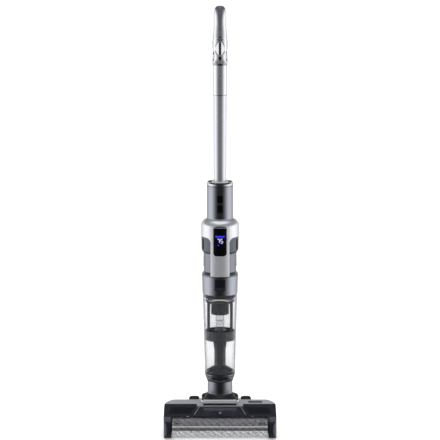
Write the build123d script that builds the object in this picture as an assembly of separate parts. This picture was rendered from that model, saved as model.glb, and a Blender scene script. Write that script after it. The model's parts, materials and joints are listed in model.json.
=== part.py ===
from build123d import *
from math import cos, radians, sin
import os

# Upright cordless wet and dry floor scrubber.
# Millimetres, +Z up, front faces -Y. The origin is on the floor under the middle of the machine.

# Floor head
head_half_width = 145.0
head_front_y = -123.0
head_back_y = 34.0
head_back_half_width = 121.0
head_top_z = 70.0
end_plate_in = 124.5
end_plate_out = 127.5
tray_front_y = -57.0
tray_back_y = -19.5
tray_floor_z = 6.0
notch_half_width = 49.3
arm_half_width = 52.5
bar_bottom_z = 74.7

# Brush roller
brush_y = -90.0
brush_z = 28.0
brush_radius = 28.0
brush_half_length = 122.5
core_radius = 17.0
window_inner_radius = 30.5
window_outer_radius = 33.0

# Belt drive of the roller, at its left end
motor_y = -38.0
motor_z = 25.0
motor_pulley_radius = 9.0
brush_pulley_radius = 14.0
pulley_inner_x = -129.0
pulley_outer_x = -136.0

# Sloping brush cover: its upper surface falls from the top shell to the window
cover_back_y = -14.0
cover_front_y = -102.4
cover_front_z = 58.6
cover_thickness = 3.0
lamp_y = -80.0

# Rear wheels
wheel_y = 86.0
wheel_radius = 33.0
wheel_inner_x = 54.0
wheel_width = 28.0
tyre_inner_radius = 26.0
axle_radius = 4.0

# Stick axis, recline pivot and the swivel in the yoke
stick_y = 30.0
pivot_z = 45.0
pivot_pin_radius = 5.0
yoke_half_width = 48.3
swivel_stem_radius = 20.0

# Heights up the stick
neck_top_z = 123.5
seat_top_z = 143.5
tank_top_z = 356.0
lid_top_z = 405.5
housing_bottom_z = 406.0
shoulder_z = 537.5
housing_top_z = 553.0
battery_top_z = 642.0
spigot_bottom_z = 577.0
chrome_top_z = 649.5
sleeve_bottom_z = 874.0
sleeve_top_z = 956.0
grip_bend_z = 970.0
grip_end_z = 1099.2
bend_radius = 418.0

# Body radii
tank_bottom_radius = 39.5
tank_top_radius = 45.0
tank_wall = 2.0
strainer_z = 233.0
shell_radius = 49.2
shell_inner_radius = 46.0
battery_radius = 33.9
tongue_half_width = 24.5
tongue_bottom_z = 407.0
glass_inner_radius = 47.9

# Rear spine and clean water tank
spine_half_width = 33.0
spine_back = 60.0
spine_top_z = 507.5
clean_half_width = 35.0
clean_back = 91.5
clean_bottom_z = 240.0
clean_top_z = 450.0
filler_y = stick_y + 76.0
socket_z = 486.0

gap = 0.3
running_fit = 0.08


def block(x0, x1, y0, y1, z0, z1):
    """A box between two corners."""
    size = (abs(x1 - x0), abs(y1 - y0), abs(z1 - z0))
    return Pos((x0 + x1) / 2, (y0 + y1) / 2, (z0 + z1) / 2) * Box(*size)


def rod_x(radius, x0, x1, y, z):
    """A cylinder that lies along X."""
    return Pos((x0 + x1) / 2, y, z) * Rot(0, 90, 0) * Cylinder(radius, abs(x1 - x0))


def rod_y(radius, x, y0, y1, z):
    """A cylinder that lies along Y."""
    return Pos(x, (y0 + y1) / 2, z) * Rot(90, 0, 0) * Cylinder(radius, abs(y1 - y0))


def post(radius, z0, z1, x=0.0, y=stick_y):
    """A cylinder that stands on Z, on the stick axis unless told otherwise."""
    return Pos(x, y, (z0 + z1) / 2) * Cylinder(radius, z1 - z0)


def turned(*points):
    """Turn a closed outline of (radius, height) points about the stick axis."""
    outline = Plane.XZ * make_face(Polyline(*points, close=True))
    return Pos(0, stick_y, 0) * revolve(outline, Axis.Z)


def side_prism(outline, x0, x1):
    """Push a (y, z) outline along X between two planes."""
    at_start = Plane(origin=(x0, 0, 0), x_dir=(0, 1, 0), z_dir=(1, 0, 0))
    return extrude(at_start * outline, x1 - x0, dir=(1, 0, 0))


def front_prism(outline, y0, y1):
    """Push an (x, z) outline along Y between two planes."""
    at_start = Plane(origin=(0, y0, 0), x_dir=(1, 0, 0), z_dir=(0, -1, 0))
    return extrude(at_start * outline, y0 - y1, dir=(0, -1, 0))


def outline_of(*points):
    """A flat face from straight-sided points."""
    return make_face(Polyline(*points, close=True))


def mirrored(solid):
    """The same piece on the other side of the machine."""
    return mirror(solid, Plane.YZ)


def head_plan(inset=0.0):
    """The head's outline from above: straight front, rounded corners, narrower at the back."""
    side = head_half_width - inset
    front = head_front_y + inset
    back = head_back_y - inset
    corner = 16.0
    flare_y = -30.0
    back_side = head_back_half_width - inset
    right = Curve() + [
        Line((0, front), (side - corner, front)),
        RadiusArc((side - corner, front), (side, front + corner), -corner),
        Line((side, front + corner), (side, flare_y)),
        Spline((side, flare_y), (back_side, back), tangents=((0, 1), (-1, 0.9))),
        Line((back_side, back), (0, back)),
    ]
    left = mirror(right, Plane.YZ)
    return extrude(make_face(right + left), head_top_z + 20)


def slope_z(y):
    """Height of the sloping cover's upper surface."""
    run = (y - cover_front_y) / (cover_back_y - cover_front_y)
    return cover_front_z + run * (head_top_z - cover_front_z)


def slope_slab(upper, lower, y0=cover_front_y, y1=cover_back_y, half_width=head_half_width):
    """A slab that follows the slope, between two depths under its surface."""
    outline = outline_of(
        (y0, slope_z(y0) - upper), (y1, slope_z(y1) - upper),
        (y1, slope_z(y1) - lower), (y0, slope_z(y0) - lower),
    )
    return side_prism(outline, -half_width, half_width)


def above_cover(depth):
    """Side view of everything over a line at a depth under the slope."""
    return outline_of(
        (cover_front_y, slope_z(cover_front_y) - depth), (cover_back_y, slope_z(cover_back_y) - depth),
        (cover_back_y, 120), (cover_front_y, 120),
    )


def side_outline(grow=0.0):
    """The head's end seen from the side, under the cover."""
    lid = cover_thickness + gap - grow
    back = head_back_y + grow
    body = outline_of(
        (brush_y, 4 - grow), (back, 8 - grow), (back, head_top_z - 4 - gap + grow),
        (cover_back_y, head_top_z - 4 - gap + grow),
        (cover_back_y, slope_z(cover_back_y) - lid),
        (cover_front_y, slope_z(cover_front_y) - lid), (brush_y, brush_z),
    )
    nose = Pos(brush_y, brush_z) * Circle(window_outer_radius - gap + grow)
    floor_cut = Pos(0, 4 - grow + 100) * Rectangle(400, 200)
    return (body + nose - above_cover(lid)) & floor_cut


# ---------------------------------------------------------------- floor head


def head_chassis():
    """Tray, end plates and the two rear arms that hold the pivot and the wheels."""
    front_tray = block(-end_plate_in, end_plate_in, tray_front_y, tray_back_y, tray_floor_z, 66 - gap)
    front_tray -= block(-end_plate_in, end_plate_in, tray_front_y + 3, tray_back_y - 3, 9, 70)
    side_tray = block(notch_half_width, end_plate_in, tray_back_y - 3, head_back_y, tray_floor_z, 66 - gap)
    side_tray -= block(notch_half_width + 3, end_plate_in, tray_back_y - 6, head_back_y - 3, 9, 70)
    arm = block(notch_half_width, arm_half_width, head_back_y - 3, wheel_y, 20, 60)
    arm += rod_x(15, notch_half_width, arm_half_width, wheel_y, wheel_radius)
    end_plate = side_prism(side_outline(), end_plate_in, end_plate_out) & head_plan(inset=3)
    side = side_tray + arm + end_plate
    chassis = front_tray + side + mirrored(side)
    # The tray stays under the sloping cover.
    chassis -= side_prism(above_cover(cover_thickness + gap), -200, 200)
    chassis -= duct_block(20, 10, tray_front_y - 5, tray_back_y + 5)
    chassis -= rod_x(8.3, -end_plate_out - 1, -end_plate_in + 1, brush_y, brush_z)
    chassis -= rod_x(10.3, end_plate_in - 1, end_plate_out + 1, brush_y, brush_z)
    chassis -= rod_x(4, -end_plate_out - 1, -end_plate_in + 4, motor_y, motor_z)
    for sign in (-1, 1):
        chassis -= rod_x(pivot_pin_radius, sign * 40, sign * 60, stick_y, pivot_z)
        chassis -= rod_x(axle_radius, sign * 40, sign * 60, wheel_y, wheel_radius)
    return chassis


def head_top_shell():
    """Metallic top plate with the notch that the body leans back through."""
    plate = head_plan() & block(-150, 150, cover_back_y + gap, head_back_y, head_top_z - 4, head_top_z)
    tongue = block(-59.7, 59.7, -32.7, cover_back_y + 1, head_top_z - 4, head_top_z)
    plinth = block(-40, 40, -29, -24, head_top_z, bar_bottom_z)
    shell = plate + tongue + plinth
    shell -= post(notch_half_width, 60, 80)
    shell -= block(-notch_half_width, notch_half_width, stick_y, 90, 60, 80)
    shell -= block(74, 110, -3, 19, 60, 80)
    return shell


def cheek():
    """Hollow end cover outside the right end plate."""
    outer = side_prism(side_outline(), end_plate_out + 0.2, head_half_width)
    outer &= head_plan()
    inner = side_prism(side_outline(grow=-3), end_plate_out, head_half_width - 3)
    inner &= head_plan(inset=3)
    return outer - inner


def trim_bar():
    """Bright bar across the front of the neck."""
    bar = block(-43, 43, -31, -23, bar_bottom_z, 84)
    return fillet(bar.edges().filter_by(Axis.X), 2.0)


def duct_block(half_width, half_height, y0, y1):
    """Straight run of the suction duct, from the brush chamber to the pivot."""
    return block(-half_width, half_width, y0, y1, 32 - half_height, 32 + half_height)


def suction_duct():
    """Air and dirty water leave the brush chamber through this duct."""
    duct = duct_block(20, 10, tray_front_y, 20) - duct_block(17.5, 7.5, -70, 30)
    return duct - rod_x(16.4, -60, 60, stick_y, pivot_z)




def brush_motor():
    """Motor that turns the roller, in the left of the tray."""
    motor = rod_x(14, -112, -45, motor_y, motor_z) + rod_x(9, -45, -41, motor_y, motor_z)
    return motor - rod_x(2.5 + running_fit, -113, -100, motor_y, motor_z)


def motor_pulley():
    """Small toothed pulley and the motor's shaft."""
    pulley = rod_x(motor_pulley_radius, pulley_outer_x, pulley_inner_x, motor_y, motor_z)
    return pulley + rod_x(2.5, pulley_inner_x, -101, motor_y, motor_z)


def belt_outline(thickness):
    """The closed line round both pulleys, at a distance outside them."""
    small = Pos(motor_y, motor_z) * Circle(motor_pulley_radius + thickness)
    large = Pos(brush_y, brush_z) * Circle(brush_pulley_radius + thickness)
    return make_hull((small + large).edges())


def drive_belt():
    """Belt from the motor to the roller."""
    outer = side_prism(belt_outline(2.0), pulley_outer_x + 0.5, pulley_inner_x - 0.5)
    return outer - side_prism(belt_outline(gap), pulley_outer_x - 1, pulley_inner_x + 1)


def spray_bar():
    """Water bar that wets the roller, with its row of outlets."""
    bar = block(-112, 112, tray_front_y - 5, tray_front_y, 47, 53)
    for place in range(-5, 6):
        bar -= rod_y(0.9, place * 20, tray_front_y - 6, tray_front_y - 2, 50)
    return bar


def rear_squeegee():
    """Rubber lip under the tray, behind the roller."""
    foot = block(-118, 118, -53, -45, 4, tray_floor_z)
    return foot + block(-118, 118, -50.5, -48, 0.8, 4)


def wheel_axles():
    """Pins that carry the rear wheels."""
    right = rod_x(axle_radius, notch_half_width, 84, wheel_y, wheel_radius)
    right += rod_x(6, 82.3, 84, wheel_y, wheel_radius)
    return Compound(children=[right, mirrored(right)])


def pivot_pins():
    """Pins of the recline hinge."""
    right = rod_x(pivot_pin_radius, 38, arm_half_width, stick_y, pivot_z)
    return Compound(children=[right, mirrored(right)])


def head_screws():
    """Screws that hold the top shell down on the tray."""
    screws = []
    for x, y in ((-112, 24), (-62, 24), (62, 24), (112, 24)):
        head = post(3.4, head_top_z - 10, head_top_z - 8, x, y)
        screws.append(head + post(1.6, 50, head_top_z - 10, x, y))
    return Compound(children=screws)


def head_latch():
    """Push button that frees the brush cover."""
    return block(74.5, 109.5, -2.5, 18.5, head_top_z - 2.6, head_top_z - 0.4)


# ------------------------------------------------------------- brush cover


def inlay_outline(grow=0.0):
    """Plan of the right-hand panel: its inner side slants outwards to the front."""
    quad = outline_of((62, -35), (126, -35), (134, -84), (74, -84))
    return offset(quad, grow, kind=Kind.INTERSECTION) if grow else quad


def brush_cover():
    """Sloping lift-off cover over the roller."""
    cover = slope_slab(0, cover_thickness)
    cover &= head_plan()
    cover -= block(-60, 60, -33, 0, 0, 120)
    centre = outline_of((-52, -40), (52, -40), (66, -98), (-66, -98))
    raised = extrude(centre, 100) & slope_slab(-1.2, 0, cover_front_y + 2, -38)
    pocket = extrude(inlay_outline(), 100, dir=(0, 0, 1)) & slope_slab(-1, 1.2)
    cover += raised
    cover -= pocket + mirrored(pocket)
    cover -= post(3, 50, 80, 0, lamp_y)
    return cover


def cover_inlays():
    """Glossy panels let into the cover."""
    panel = extrude(inlay_outline(-0.1), 100, dir=(0, 0, 1)) & slope_slab(0.2, 1.2)
    return Compound(children=[panel, mirrored(panel)])


def head_lamp_lens():
    """Small round indicator lens in the middle of the cover."""
    surface = slope_z(lamp_y)
    return post(2.9, surface - cover_thickness, surface + 1.4, 0, lamp_y)


def brush_window():
    """Clear curved front of the cover, round the roller."""
    ring = Circle(window_outer_radius) - Circle(window_inner_radius)
    wedge_points = [(0, 0)]
    for angle in (182, 160, 140, 120, 112):
        reach = 60
        wedge_points.append((reach * cos(radians(angle)), reach * sin(radians(angle))))
    arc = Pos(brush_y, brush_z) * (ring & outline_of(*wedge_points))
    window = side_prism(arc, -end_plate_in + gap, end_plate_in - gap)
    return window - slope_slab(-10, cover_thickness, cover_front_y, 0)


# ------------------------------------------------------------ brush roller


def brush_core():
    """Plastic tube under the pile."""
    core = rod_x(core_radius, -brush_half_length, brush_half_length, brush_y, brush_z)
    return core - rod_x(13.5, -brush_half_length, brush_half_length, brush_y, brush_z)


def brush_pile():
    """Plush cover of the roller."""
    pile = rod_x(brush_radius, -brush_half_length, brush_half_length, brush_y, brush_z)
    return pile - rod_x(core_radius, -brush_half_length, brush_half_length, brush_y, brush_z)


def brush_end_cap():
    """Plug and pull tab at the roller's right end."""
    cap = rod_x(13.5, 108, brush_half_length, brush_y, brush_z)
    cap += rod_x(16, brush_half_length, 124, brush_y, brush_z)
    cap += rod_x(10, 124, 134, brush_y, brush_z)
    return cap - block(126, 135, brush_y - 6, brush_y + 6, brush_z - 2, brush_z + 2)


def brush_pulley():
    """Driven pulley and the dog that turns the roller."""
    pulley = rod_x(13.5, -brush_half_length, -108, brush_y, brush_z)
    pulley += rod_x(8, pulley_outer_x, -brush_half_length, brush_y, brush_z)
    return pulley + rod_x(brush_pulley_radius, pulley_outer_x, pulley_inner_x, brush_y, brush_z)


# ------------------------------------------------------------- rear wheels


def wheel_hub():
    """Right hub, dished on its outer side."""
    outer_x = wheel_inner_x + wheel_width
    hub = rod_x(tyre_inner_radius, wheel_inner_x, outer_x - 2, wheel_y, wheel_radius)
    hub -= rod_x(tyre_inner_radius - 6, outer_x - 8, outer_x, wheel_y, wheel_radius)
    hub += rod_x(9, outer_x - 9, outer_x - 3, wheel_y, wheel_radius)
    return hub - rod_x(axle_radius + running_fit, 50, 90, wheel_y, wheel_radius)


def wheel_tyre():
    """Right tyre with rounded shoulders."""
    outer_x = wheel_inner_x + wheel_width
    tyre = rod_x(wheel_radius, wheel_inner_x, outer_x, wheel_y, wheel_radius)
    tyre = fillet(tyre.edges(), 6.5)
    return tyre - rod_x(tyre_inner_radius, 50, 90, wheel_y, wheel_radius)


# --------------------------------------------------------- yoke and swivel


def yoke():
    """Fork that leans back on the pivot pins and holds the swivel."""
    barrel = rod_x(16, -yoke_half_width, yoke_half_width, stick_y, pivot_z)
    riser = block(-34, 34, stick_y - 15, stick_y + 15, pivot_z, 70)
    cup = turned((0, 68), (yoke_half_width - 3, 68), (yoke_half_width, 71), (yoke_half_width, 82),
                 (44.6, 82), (44.6, 72), (0, 72))
    body = barrel + riser + cup
    body -= post(swivel_stem_radius, 58, 80)
    body -= post(12, 34, 60)
    for sign in (-1, 1):
        body -= rod_x(pivot_pin_radius + running_fit, sign * 37.5, sign * 60, stick_y, pivot_z)
    return body


def swivel_neck():
    """Dish that turns in the yoke, and the neck over it."""
    return turned((14, 60), (swivel_stem_radius - running_fit, 60), (swivel_stem_radius - running_fit, 72.3),
                  (44, 72.3), (44, 77), (34.5, 89.5), (32.5, 91), (32.5, neck_top_z),
                  (28, neck_top_z), (28, 90), (14, 76))


def tank_seat():
    """Collar that the tank stands on, with the foot of the rear spine."""
    collar = turned((0, neck_top_z), (32.5, neck_top_z), (35.2, 128), (37.2, 134), (38, 139),
                    (38.8, seat_top_z), (0, seat_top_z))
    foot = block(-22, 22, stick_y + 20, stick_y + 57, 128, seat_top_z)
    foot = fillet(foot.edges().filter_by(Axis.Z).group_by(Axis.Y)[-1], 12.0)
    seat = collar + foot
    return seat - post(10, neck_top_z - 1, seat_top_z + 1, 0, stick_y + 15)


def spine_outline(inset=0.0):
    """Section of the rear spine, before the tank's round hollow is taken out."""
    half = spine_half_width - inset
    depth = spine_back - 26 - 2 * inset
    plate = Pos(0, stick_y + 26 + inset + depth / 2) * Rectangle(2 * half, depth)
    return fillet(plate.vertices().group_by(Axis.Y)[-1], 14.0 - inset)


def rear_spine():
    """Hollow back of the machine, behind the tank, with the hoses and leads inside."""
    spine = Pos(0, 0, seat_top_z) * extrude(spine_outline(), spine_top_z - seat_top_z)
    spine -= post(46.5, 100, tank_top_z - 1)
    spine -= post(49, tank_top_z - 1.5, 600)
    hollow = Pos(0, 0, seat_top_z + 4) * extrude(spine_outline(2.5), spine_top_z - seat_top_z - 6)
    hollow -= post(49, 100, tank_top_z + 1)
    hollow -= post(51.5, tank_top_z + 0.5, 600)
    return spine - hollow - rod_y(6, 0, stick_y + 50, stick_y + 62, socket_z)


def charge_socket():
    """Round socket for the charger's plug."""
    barrel = rod_y(6, 0, stick_y + 52, stick_y + spine_back, socket_z)
    return barrel - rod_y(2.75, 0, stick_y + spine_back - 6, stick_y + 61, socket_z)


# ------------------------------------------------------ upper body housing


def tongue_zone(half_width, inner_radius, z0, z1):
    """Front strip of the round body, outside a radius."""
    strip = block(-half_width, half_width, -40, stick_y, z0, z1)
    return strip - post(inner_radius, z0 - 1, z1 + 1)


def main_housing():
    """Dark round housing over the tank, which carries the motor and the electronics."""
    body = turned((14, housing_bottom_z), (46.9, housing_bottom_z), (46.9, 408), (42, 415.5), (43, 467),
                  (43, 509), (45.3, 511), (45.3, 536.5), (36, 547), (10, 547), (10, 543),
                  (33.5, 543), (40, 533), (40, 471), (38.5, 467), (38.5, 410), (14, 410))
    return body - tongue_zone(tongue_half_width + 0.2, 45.3, 400, 510)


def shell_mask(grow=0.0):
    """Front view of the silver shell: a broad band with a rounded step to the tongue."""
    half_width = tongue_half_width + grow
    band = Pos(0, 540) * Rectangle(120, 64 + 2 * grow)
    tongue = Pos(0, 456) * Rectangle(2 * half_width, 112)
    mask = band + tongue
    corners = [v for v in mask.vertices() if abs(abs(v.X) - half_width) < 0.1 and v.Y > 490]
    return fillet(corners, 13.0 - grow)


def display_outline(inset=0.0):
    """Front view of the display panel: square top, rounded bottom corners."""
    panel = Pos(0, 498) * Rectangle(34.5 - 2 * inset, 73 - 2 * inset)
    return fillet(panel.vertices().group_by(Axis.Y)[0], 8.0)


def silver_shell():
    """Satin silver cover with the tongue that runs down the front."""
    wall = Polyline((34.3, housing_top_z), (32, housing_top_z), (36.5, 547.8), (shell_inner_radius, 537),
                    (shell_inner_radius, tongue_bottom_z), (shell_radius, tongue_bottom_z),
                    (shell_radius, shoulder_z))
    shoulder = ThreePointArc((shell_radius, shoulder_z), (44, 547.2), (34.3, housing_top_z))
    skin = Pos(0, stick_y, 0) * revolve(Plane.XZ * make_face(Curve() + [wall, shoulder]), Axis.Z)
    front = skin & front_prism(shell_mask(), stick_y, -60)
    back = skin & block(-60, 60, stick_y, 120, 508, 560)
    pocket = front_prism(display_outline(), stick_y - 30, -60) - post(glass_inner_radius, 400, 600)
    return front + back - pocket


def display_glass():
    """Black glass over the display, flush with the tongue."""
    ring = post(shell_radius, 430, shoulder_z) - post(glass_inner_radius, 420, 540)
    return ring & front_prism(display_outline(0.1), stick_y - 30, -60)


def side_pod():
    """Right-hand side cover, with a chamfered lower edge."""
    ring = turned((43.2, 466), (45, 466), (48, 472), (48.6, 507.7), (43.2, 507.7))
    right = ring & block(tongue_half_width + gap, 60, -60, 120, 450, 510)
    slot = front_prism(outline_of((42.5, 474), (45, 474), (45, 503), (42.5, 503)), stick_y, -60)
    right -= slot - post(45.8, 400, 600)
    right -= front_prism(shell_mask(0.2), stick_y, -60)
    return right - block(spine_half_width - 12, 60, stick_y + 42, 120, 450, 510)


def suction_motor():
    """Motor that pulls air up through the tank."""
    motor = post(30, 424, 460) + post(22, 460, 470)
    return motor - post(3 + running_fit, 423, 446)


def impeller():
    """Fan under the suction motor."""
    fan = post(26, 412, 414) + post(6, 414, 420) + post(3, 420, 444)
    for blade in range(9):
        vane = block(5, 25, -0.7, 0.7, 414, 419)
        fan += Pos(0, stick_y, 0) * Rot(0, 0, blade * 40) * vane
    return fan


def water_pump():
    """Pump for the clean water."""
    return block(-15, 15, stick_y - 8, stick_y + 14, 476, 500) + rod_x(8, 15, 24, stick_y + 3, 488)


def control_board():
    """Circuit board behind the display."""
    return block(-15, 15, stick_y - 36, stick_y - 34.4, 474, 530)


def battery_housing():
    """Upper round housing, with the socket that the handle plugs into."""
    bottom = housing_top_z + gap
    wall = turned((0, bottom), (battery_radius, bottom), (battery_radius, battery_top_z), (31, battery_top_z),
                  (31, bottom + 3), (0, bottom + 3))
    socket = post(12, bottom + 3, battery_top_z - 1)
    roof = post(31.2, battery_top_z - 4, battery_top_z - 1)
    housing = wall + socket + roof
    return housing - post(10 + running_fit, spigot_bottom_z - 13, 680)


def battery_cells():
    """Six round cells about the handle's socket."""
    cells = []
    for cell in range(6):
        angle = radians(30 + 60 * cell)
        cells.append(post(9, 559, 631, 21.4 * cos(angle), stick_y + 21.4 * sin(angle)))
    return Compound(children=cells)


def chrome_ring():
    """Bright bevelled ring on top of the battery housing."""
    return turned((30.5, battery_top_z), (battery_radius, battery_top_z), (battery_radius, 645.5),
                  (32, chrome_top_z), (30.5, chrome_top_z))


def tube_collar():
    """Pale collar round the foot of the tube."""
    return turned((16.6, 641), (25, 641), (25, 644), (20, 649), (16.6, 649))


# -------------------------------------------------------- dirty water tank


def dirty_tank():
    """Clear tank, open at the top."""
    bottom = seat_top_z + gap
    return turned((0, bottom), (tank_bottom_radius, bottom), (tank_top_radius, tank_top_z),
                  (tank_top_radius - tank_wall, tank_top_z), (tank_bottom_radius - tank_wall, bottom + 3),
                  (0, bottom + 3))


def tank_lid():
    """Dark lid of the tank, which meets the housing above."""
    lid = turned((0, 400), (20, 400), (20, lid_top_z), (46.9, lid_top_z), (45.8, 357), (45.6, tank_top_z),
                 (39.7, tank_top_z), (39.7, 346), (38.2, 346), (38.2, 396), (0, 396))
    recess = block(-14, 14, -40, stick_y - 41.5, 370, 399)
    return lid - recess


def tank_latch():
    """Button that frees the tank."""
    button = block(-13.5, 13.5, -18, stick_y - 43.2, 378, 396)
    return button & post(46, 350, 400)


def tank_seal():
    """Rubber ring between the lid's plug and the tank."""
    return turned((39.8, 347), (42.5, 347), (42.5, 355.7), (39.8, 355.7))


def tank_filter():
    """Filter cup under the lid, and the guide tube of the float."""
    cup = turned((0, 300.5), (23, 300.5), (23, 330), (36, 332.5), (38, 338), (38, 350), (36.5, 350),
                 (36, 340), (20, 333), (20, 304.5), (0, 304.5))
    guide = turned((9.6, 270), (11.5, 270), (11.5, 300.5), (9.6, 300.5))
    return cup + guide


def tank_float():
    """Float that shuts the air path when the tank is full."""
    return post(9.3, 272, 282)


def tank_strainer():
    """Ring with a perforated floor that holds back hair, on two columns."""
    ring = turned((37, strainer_z), (39.2, strainer_z), (39.9, 257), (37, 257))
    floor = post(37.5, strainer_z, strainer_z + 2) - post(17.8, 200, 260)
    strainer = ring + floor
    for sign in (-1, 1):
        strainer += block(sign * 26, sign * 33, stick_y - 3.5, stick_y + 3.5, strainer_z, 330)
        strainer += block(sign * 26, sign * 37.5, stick_y - 3.5, stick_y + 3.5, strainer_z, strainer_z + 4)
    for ring_radius, count in ((21, 12), (25.5, 16), (30, 20)):
        for hole in range(count):
            angle = radians(360 * (hole + 0.5) / count)
            strainer -= post(1.5, 215, strainer_z + 2.5, ring_radius * cos(angle), stick_y + ring_radius * sin(angle))
    return strainer


def riser_tube():
    """Tube that brings dirty water and air up from the neck."""
    return turned((13, 147), (36.5, 147), (36.5, 150), (21, 160), (15, 163), (15, 208.5),
                  (17.5, strainer_z - 0.4), (15.2, strainer_z + 0.6), (15.2, 258), (13.2, 258), (13, 208.5),
                  (13, 152))


# -------------------------------------------------------- clean water tank


def clean_outline(inset=0.0):
    """Section of the clean water tank."""
    y0 = stick_y + spine_back + 0.4 + inset
    y1 = stick_y + clean_back - inset
    plate = Pos(0, (y0 + y1) / 2) * Rectangle(2 * (clean_half_width - inset), y1 - y0)
    return fillet(plate.vertices().group_by(Axis.Y)[-1], 16.0 - inset)


def clean_tank():
    """Clean water tank on the back, with its filler hole on top."""
    outer = Pos(0, 0, clean_bottom_z) * extrude(clean_outline(), clean_top_z - clean_bottom_z)
    inner = Pos(0, 0, clean_bottom_z + 2.5) * extrude(clean_outline(2.2), clean_top_z - clean_bottom_z - 5)
    return outer - inner - post(10, clean_top_z - 5, clean_top_z + 5, 0, filler_y)


def clean_tank_cap():
    """Stopper of the filler hole."""
    plug = post(10, clean_top_z - 4, clean_top_z, 0, filler_y)
    return plug + post(13, clean_top_z, clean_top_z + 6, 0, filler_y)


# ------------------------------------------------------------------ handle


def handle_tube():
    """Tapered metal tube, with the spigot that plugs into the battery housing."""
    return turned((0, spigot_bottom_z), (10, spigot_bottom_z), (10, 643.5), (15.9, 643.5),
                  (17, sleeve_bottom_z), (17, 914), (15.4, 914), (15.4, 879), (14, 650), (0, 650))


def handle_sleeve():
    """Glossy sleeve between the tube and the grip."""
    return turned((17.2, sleeve_bottom_z + 0.2), (18.3, sleeve_bottom_z + 0.2), (18.3, sleeve_top_z),
                  (17.2, sleeve_top_z))


def grip_station(z):
    """Middle of the grip and its lean at a height; it bends back above the bend height."""
    if z <= grip_bend_z:
        return stick_y, 0.0
    rise = (z - grip_bend_z) / bend_radius
    return stick_y + bend_radius * (1 - (1 - rise * rise) ** 0.5), rise


def grip_body(inset=0.0):
    """Lofted grip: an ellipse at each height, wide at the foot and domed at the top."""
    widths = ((sleeve_top_z, 19.6, 18.6), (990, 18.9, 18.2), (1030, 17.6, 17.4), (1054, 16.0, 16.0),
              (1087, 15.3, 15.2), (1096, 11.8, 11.8), (grip_end_z, 7.2, 7.2))
    sections = []
    for z, half_width, half_depth in widths:
        y, rise = grip_station(z)
        lean = Plane(origin=(0, y, z), x_dir=(1, 0, 0), z_dir=(0, rise, (1 - rise * rise) ** 0.5))
        sections.append(lean * Ellipse(half_width - inset, half_depth - inset))
    return loft(sections)


def grip_split(front):
    """Everything in front of the grip's middle line, or behind it."""
    bend_y, rise = grip_station(grip_end_z + 20)
    middle = [Line((stick_y, 900), (stick_y, grip_bend_z)),
              ThreePointArc((stick_y, grip_bend_z),
                            (grip_station(1040)[0], 1040), (bend_y, grip_end_z + 20))]
    side_y = stick_y - 60 if front else stick_y + 120
    rest = [Line((bend_y, grip_end_z + 20), (side_y, grip_end_z + 20)),
            Line((side_y, grip_end_z + 20), (side_y, 900)), Line((side_y, 900), (stick_y, 900))]
    return side_prism(make_face(Curve() + middle + rest), -60, 60)


def grip_shell():
    """Hollow grip before it is split in two."""
    hollow = grip_body(2.4) & block(-40, 40, -40, 160, 900, grip_end_z - 5)
    return grip_body() - hollow - post(16, sleeve_top_z - 1, sleeve_top_z + 1)


def button_outline(grow=0.0):
    """Oval of the power button seen from the front."""
    return Pos(0, 994) * RectangleRounded(23 + 2 * grow, 36 + 2 * grow, 11)


def handle_front_shell():
    """Front half of the grip, with the button's hole."""
    shell = grip_shell() & grip_split(True)
    return shell - front_prism(button_outline(gap), stick_y - 5, -60)


def handle_rear_shell():
    """Rear half of the grip."""
    return grip_shell() & grip_split(False)


def power_button():
    """Long oval button on the front of the grip."""
    button = grip_body() & front_prism(button_outline(), stick_y - 10, -60)
    return button - grip_body(6.5)


def export(name, shape):
    """Write one node."""
    export_step(shape, f"parts/{name}.step")
    print(name, round(shape.volume))


os.makedirs("parts", exist_ok=True)

right_cheek = cheek()
right_hub = wheel_hub()
right_tyre = wheel_tyre()
right_pod = side_pod()
export("head_chassis", head_chassis())
export("head_top_shell", head_top_shell())
export("right_cheek", right_cheek)
export("left_cheek", mirrored(right_cheek))
export("trim_bar", trim_bar())
export("suction_duct", suction_duct())
export("brush_motor", brush_motor())
export("motor_pulley", motor_pulley())
export("drive_belt", drive_belt())
export("spray_bar", spray_bar())
export("rear_squeegee", rear_squeegee())
export("wheel_axles", wheel_axles())
export("pivot_pins", pivot_pins())
export("head_screws", head_screws())
export("head_latch", head_latch())
export("brush_cover", brush_cover())
export("cover_inlays", cover_inlays())
export("head_lamp_lens", head_lamp_lens())
export("brush_window", brush_window())
export("brush_core", brush_core())
export("brush_pile", brush_pile())
export("brush_end_cap", brush_end_cap())
export("brush_pulley", brush_pulley())
export("right_wheel_hub", right_hub)
export("left_wheel_hub", mirrored(right_hub))
export("right_tyre", right_tyre)
export("left_tyre", mirrored(right_tyre))
export("yoke", yoke())
export("swivel_neck", swivel_neck())
export("tank_seat", tank_seat())
export("rear_spine", rear_spine())
export("charge_socket", charge_socket())
export("main_housing", main_housing())
export("silver_shell", silver_shell())
export("display_glass", display_glass())
export("right_pod", right_pod)
export("left_pod", mirrored(right_pod))
export("suction_motor", suction_motor())
export("impeller", impeller())
export("water_pump", water_pump())
export("control_board", control_board())
export("battery_housing", battery_housing())
export("battery_cells", battery_cells())
export("chrome_ring", chrome_ring())
export("tube_collar", tube_collar())
export("dirty_tank", dirty_tank())
export("tank_lid", tank_lid())
export("tank_latch", tank_latch())
export("tank_seal", tank_seal())
export("tank_filter", tank_filter())
export("tank_float", tank_float())
export("tank_strainer", tank_strainer())
export("riser_tube", riser_tube())
export("clean_tank", clean_tank())
export("clean_tank_cap", clean_tank_cap())
export("handle_tube", handle_tube())
export("handle_sleeve", handle_sleeve())
export("handle_front_shell", handle_front_shell())
export("handle_rear_shell", handle_rear_shell())
export("power_button", power_button())
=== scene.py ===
import json
import math
import bmesh
import bpy
from mathutils import Matrix, Vector, noise
from mathutils.bvhtree import BVHTree


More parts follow.
